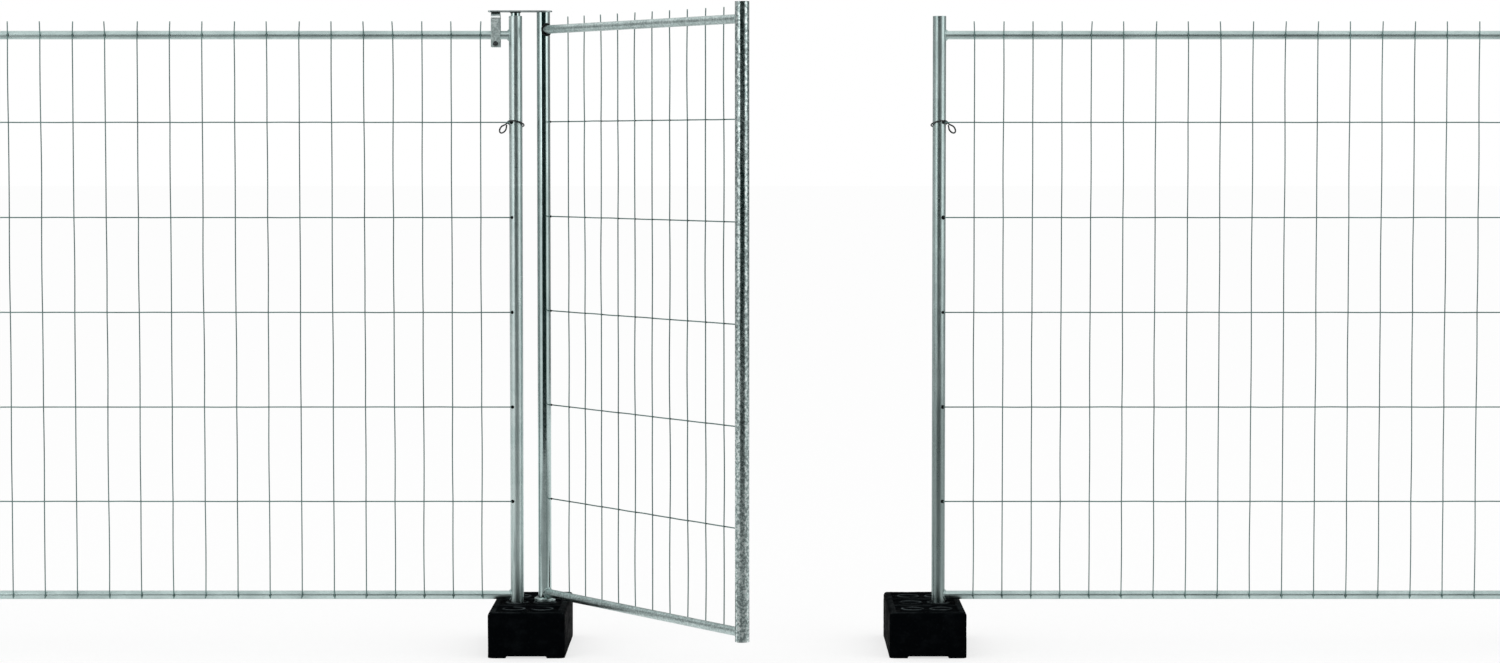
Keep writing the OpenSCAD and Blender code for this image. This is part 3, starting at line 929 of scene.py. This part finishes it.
build_mesh_panel("left", "left_panel", "left_end_post", "left_gate_post", seed=11, bow=WIRE_BOW)
build_mesh_panel("right", "right_panel", "right_gate_post", "right_end_post", seed=23, bow=WIRE_BOW)
build_mesh_panel(
    "leaf", "gate_leaf", "leaf_hinge_post", "leaf_closing_post", seed=37, bow=LEAF_BOW,
    post_weld=LEAF_POST_WELD, dark_bead_r=LEAF_BEAD_AND_SHADE_R
)
build_hinge_welds()

for name in ("left_gate_post", "left_end_post"):
    softened(name, "post", STEEL, LIP)
for name in ("right_gate_post", "right_end_post"):
    softened(name, "dark_low_post", STEEL, LIP)
for name in ("leaf_hinge_post", "pivot_stub", "pivot_pin", "top_hinge_pin", "post_spigot"):
    softened(name, "leaf_post", STEEL, LIP)
softened("leaf_closing_post", "spangled_post", STEEL, LIP)
softened("pivot_collar", "collar", STEEL, COLLAR_EDGE)
softened("top_hinge_plate", "plate", STEEL, PLATE_EDGE)
softened("rail_strap", "strap", STEEL, PLATE_EDGE)
for name in ("strap_bolt", "strap_nut", "strap_washers"):
    softened(name, "fastener", "zinc_fastener", HEAD_EDGE)
for name in ("left_top_rail", "left_bottom_rail", "right_top_rail", "right_bottom_rail"):
    dress(name, "rail")
for name in ("leaf_top_rail", "leaf_bottom_rail"):
    dress(name, "leaf_rail")
build_clip("left_clip", "left_gate_post")
build_clip("right_clip", "right_gate_post")
for name in ("left_end_foot", "hinge_foot", "closing_foot", "right_end_foot"):
    build_foot(name)


def make_world():
    """A plain white world."""
    world = bpy.data.worlds.new("studio")
    bpy.context.scene.world = world
    world.use_nodes = True
    light = world.node_tree.nodes["Background"]
    light.inputs["Color"].default_value = WHITE
    light.inputs["Strength"].default_value = 1.0


def sheet(name, centre, across, up, material):
    """A flat rectangle of the studio, spanned by two half sides about its centre."""
    centre, across, up = Vector(centre), Vector(across), Vector(up)
    corners = [centre - across - up, centre + across - up, centre + across + up, centre - across + up]
    mesh = bpy.data.meshes.new(name)
    mesh.from_pydata(corners, [], [(0, 1, 2, 3)])
    mesh.materials.append(material)
    made = bpy.data.objects.new(name, mesh)
    bpy.context.scene.collection.objects.link(made)
    return made


def seen_directly(tree):
    """1 where a ray comes from the camera, a mirror or a glass, and 0 where it only brings light."""
    path = tree.nodes.new("ShaderNodeLightPath")
    total = path.outputs["Is Camera Ray"]
    for kind in ("Is Glossy Ray", "Is Transmission Ray"):
        larger = tree.nodes.new("ShaderNodeMath")
        larger.operation = "MAXIMUM"
        tree.links.new(total, larger.inputs[0])
        tree.links.new(path.outputs[kind], larger.inputs[1])
        total = larger.outputs["Value"]
    return total


def floor_material():
    """Pale paint that takes the shadows, mixed with plain white where it is seen directly."""
    material = bpy.data.materials.new("studio_floor")
    material.use_nodes = True
    tree = material.node_tree
    tree.nodes.remove(tree.nodes["Principled BSDF"])
    paint = tree.nodes.new("ShaderNodeBsdfDiffuse")
    paint.inputs["Color"].default_value = FLOOR_PAINT
    white = tree.nodes.new("ShaderNodeEmission")
    share = tree.nodes.new("ShaderNodeMath")
    share.operation = "MULTIPLY"
    tree.links.new(seen_directly(tree), share.inputs[0])
    share.inputs[1].default_value = FLOOR_WHITE
    mix = tree.nodes.new("ShaderNodeMixShader")
    tree.links.new(share.outputs["Value"], mix.inputs["Fac"])
    tree.links.new(paint.outputs["BSDF"], mix.inputs[1])
    tree.links.new(white.outputs["Emission"], mix.inputs[2])
    tree.links.new(mix.outputs["Shader"], tree.nodes["Material Output"].inputs["Surface"])
    return material


def cloth_material(name, colour):
    """Cloth without any gloss."""
    material = bpy.data.materials.new(name)
    material.use_nodes = True
    surface = material.node_tree.nodes["Principled BSDF"]
    surface.inputs["Base Color"].default_value = colour
    surface.inputs["Roughness"].default_value = 1.0
    surface.inputs["Specular IOR Level"].default_value = 0.0
    return material


def flag(name, centre, across, up, colour):
    """A studio flag: cloth that only reflections see."""
    made = sheet(name, centre, across, up, cloth_material(name + "_cloth", colour))
    made.visible_camera = False
    made.visible_diffuse = False
    made.visible_transmission = False
    made.visible_shadow = False


def softbox(name, place, radiance):
    """An area lamp, aimed at the part's middle, whose face has that radiance."""
    lamp = bpy.data.lights.new(name, "AREA")
    lamp.shape = "RECTANGLE"
    lamp.size = SOFTBOX_W
    lamp.size_y = SOFTBOX_H
    lamp.energy = radiance * math.pi * SOFTBOX_W * SOFTBOX_H
    made = bpy.data.objects.new(name, lamp)
    made.location = place
    made.rotation_euler = (Vector(SOFTBOX_AIM) - Vector(place)).to_track_quat("-Z", "Y").to_euler()
    made.visible_camera = False
    bpy.context.scene.collection.objects.link(made)


make_world()
sheet("studio_floor", FLOOR_CENTRE, (FLOOR_HALF, 0, 0), (0, FLOOR_HALF, 0), floor_material())
for name, centre, across, up, colour in FLAGS:
    flag(name, centre, across, up, colour)
for name, place, radiance in SOFTBOXES:
    softbox(name, place, radiance)

camera = bpy.data.objects.new("camera", bpy.data.cameras.new("camera"))
camera.data.sensor_fit = "HORIZONTAL"
camera.data.lens = CAMERA_LENS
camera.location = CAMERA_PLACE
camera.rotation_euler = (math.pi / 2 - CAMERA_DOWN, 0.0, 0.0)
bpy.context.scene.collection.objects.link(camera)
bpy.context.scene.camera = camera
bpy.context.scene.view_settings.view_transform = "Standard"
